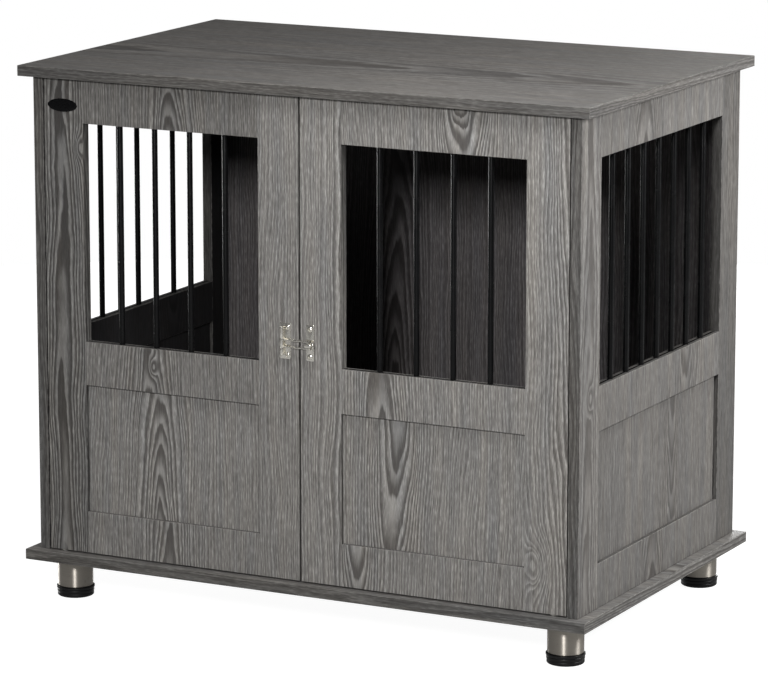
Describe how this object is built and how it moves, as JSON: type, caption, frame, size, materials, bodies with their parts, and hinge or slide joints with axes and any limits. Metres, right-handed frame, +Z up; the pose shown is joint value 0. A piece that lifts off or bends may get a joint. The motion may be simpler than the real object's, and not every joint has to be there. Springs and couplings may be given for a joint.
{
  "type": "dog crate end table",
  "caption": "Wood-grain end table built as a dog crate, with barred side windows, two barred front doors held by a loop latch, and short steel legs on levelling feet.",
  "frame": {"origin": "on the floor, under the middle of the table", "axes": "+Z up; -Y is the front with the two doors; +X is to the right of someone facing the front"},
  "size_m": [0.87, 0.558, 0.762],
  "materials": {
    "door_wood": "grey wire-brushed oak grain, satin",
    "side_wood": "grey oak grain, satin",
    "board_wood": "grey oak grain along the length, satin",
    "back_wood": "grey oak grain, satin",
    "black_steel": "semi-gloss black powder coat",
    "brushed_steel": "brushed round the tube",
    "black_plastic": "moulded, satin",
    "nickel": "bright nickel plate",
    "plain_steel": "plain turned steel",
    "nylon": "natural nylon"
  },
  "bodies": {
    "carcass": {"top_board": "board_wood", "base_board": "board_wood", "back_panel": "back_wood", "left_side_front_stile": "side_wood", "left_side_rear_stile": "side_wood", "left_side_top_rail": "side_wood", "left_side_middle_rail": "side_wood", "left_side_bottom_rail": "side_wood", "left_side_lower_panel": "side_wood", "left_side_window_bars": "black_steel", "right_side_front_stile": "side_wood", "right_side_rear_stile": "side_wood", "right_side_top_rail": "side_wood", "right_side_middle_rail": "side_wood", "right_side_bottom_rail": "side_wood", "right_side_lower_panel": "side_wood", "right_side_window_bars": "black_steel", "left_door_bottom_pivot_pin": "plain_steel", "left_door_top_pivot_pin": "plain_steel", "right_door_bottom_pivot_pin": "plain_steel", "right_door_top_pivot_pin": "plain_steel", "front_left_leg_tube": "brushed_steel", "front_right_leg_tube": "brushed_steel", "rear_left_leg_tube": "brushed_steel", "rear_right_leg_tube": "brushed_steel", "left_door_catch": "black_plastic", "right_door_catch": "black_plastic"},
    "left_door": {"left_door_hinge_stile": "door_wood", "left_door_meeting_stile": "door_wood", "left_door_top_rail": "door_wood", "left_door_middle_rail": "door_wood", "left_door_bottom_rail": "door_wood", "left_door_lower_panel": "door_wood", "left_door_window_bars": "black_steel", "left_door_bottom_bush": "nylon", "left_door_top_bush": "nylon", "left_door_strike_plate": "plain_steel", "latch_plate": "nickel", "latch_hinge_pin": "nickel", "latch_plate_lower_screw": "nickel", "latch_plate_upper_screw": "nickel"},
    "right_door": {"right_door_hinge_stile": "door_wood", "right_door_meeting_stile": "door_wood", "right_door_top_rail": "door_wood", "right_door_middle_rail": "door_wood", "right_door_bottom_rail": "door_wood", "right_door_lower_panel": "door_wood", "right_door_window_bars": "black_steel", "right_door_bottom_bush": "nylon", "right_door_top_bush": "nylon", "right_door_strike_plate": "plain_steel", "latch_keeper": "nickel", "latch_keeper_lower_screw": "nickel", "latch_keeper_upper_screw": "nickel"},
    "latch_loop": {"latch_loop": "nickel"},
    "latch_knob": {"latch_knob": "nickel"},
    "front_left_foot": {"front_left_foot": "black_plastic"},
    "front_right_foot": {"front_right_foot": "black_plastic"},
    "rear_left_foot": {"rear_left_foot": "black_plastic"},
    "rear_right_foot": {"rear_right_foot": "black_plastic"}
  },
  "joints": [
    {"name": "left_door_hinge", "type": "hinge", "parent": "carcass", "child": "left_door", "pos_m": [-0.381, -0.2575, 0.4095], "axis": [0, 0, -1], "range_deg": [0, 110]},
    {"name": "right_door_hinge", "type": "hinge", "parent": "carcass", "child": "right_door", "pos_m": [0.381, -0.2575, 0.4095], "axis": [0, 0, 1], "range_deg": [0, 110]},
    {"name": "latch_loop_swing", "type": "hinge", "parent": "left_door", "child": "latch_loop", "pos_m": [-0.0255, -0.2698, 0.4068], "axis": [0, 0, -1], "range_deg": [0, 170]},
    {"name": "latch_knob_turn", "type": "hinge", "parent": "right_door", "child": "latch_knob", "pos_m": [0.0165, -0.2714, 0.4068], "axis": [0, 1, 0], "range_deg": [0, 90]},
    {"name": "front_left_foot_level", "type": "slide", "parent": "carcass", "child": "front_left_foot", "axis": [0, 0, -1], "range_m": [0, 0.012]},
    {"name": "front_right_foot_level", "type": "slide", "parent": "carcass", "child": "front_right_foot", "axis": [0, 0, -1], "range_m": [0, 0.012]},
    {"name": "rear_left_foot_level", "type": "slide", "parent": "carcass", "child": "rear_left_foot", "axis": [0, 0, -1], "range_m": [0, 0.012]},
    {"name": "rear_right_foot_level", "type": "slide", "parent": "carcass", "child": "rear_right_foot", "axis": [0, 0, -1], "range_m": [0, 0.012]}
  ]
}
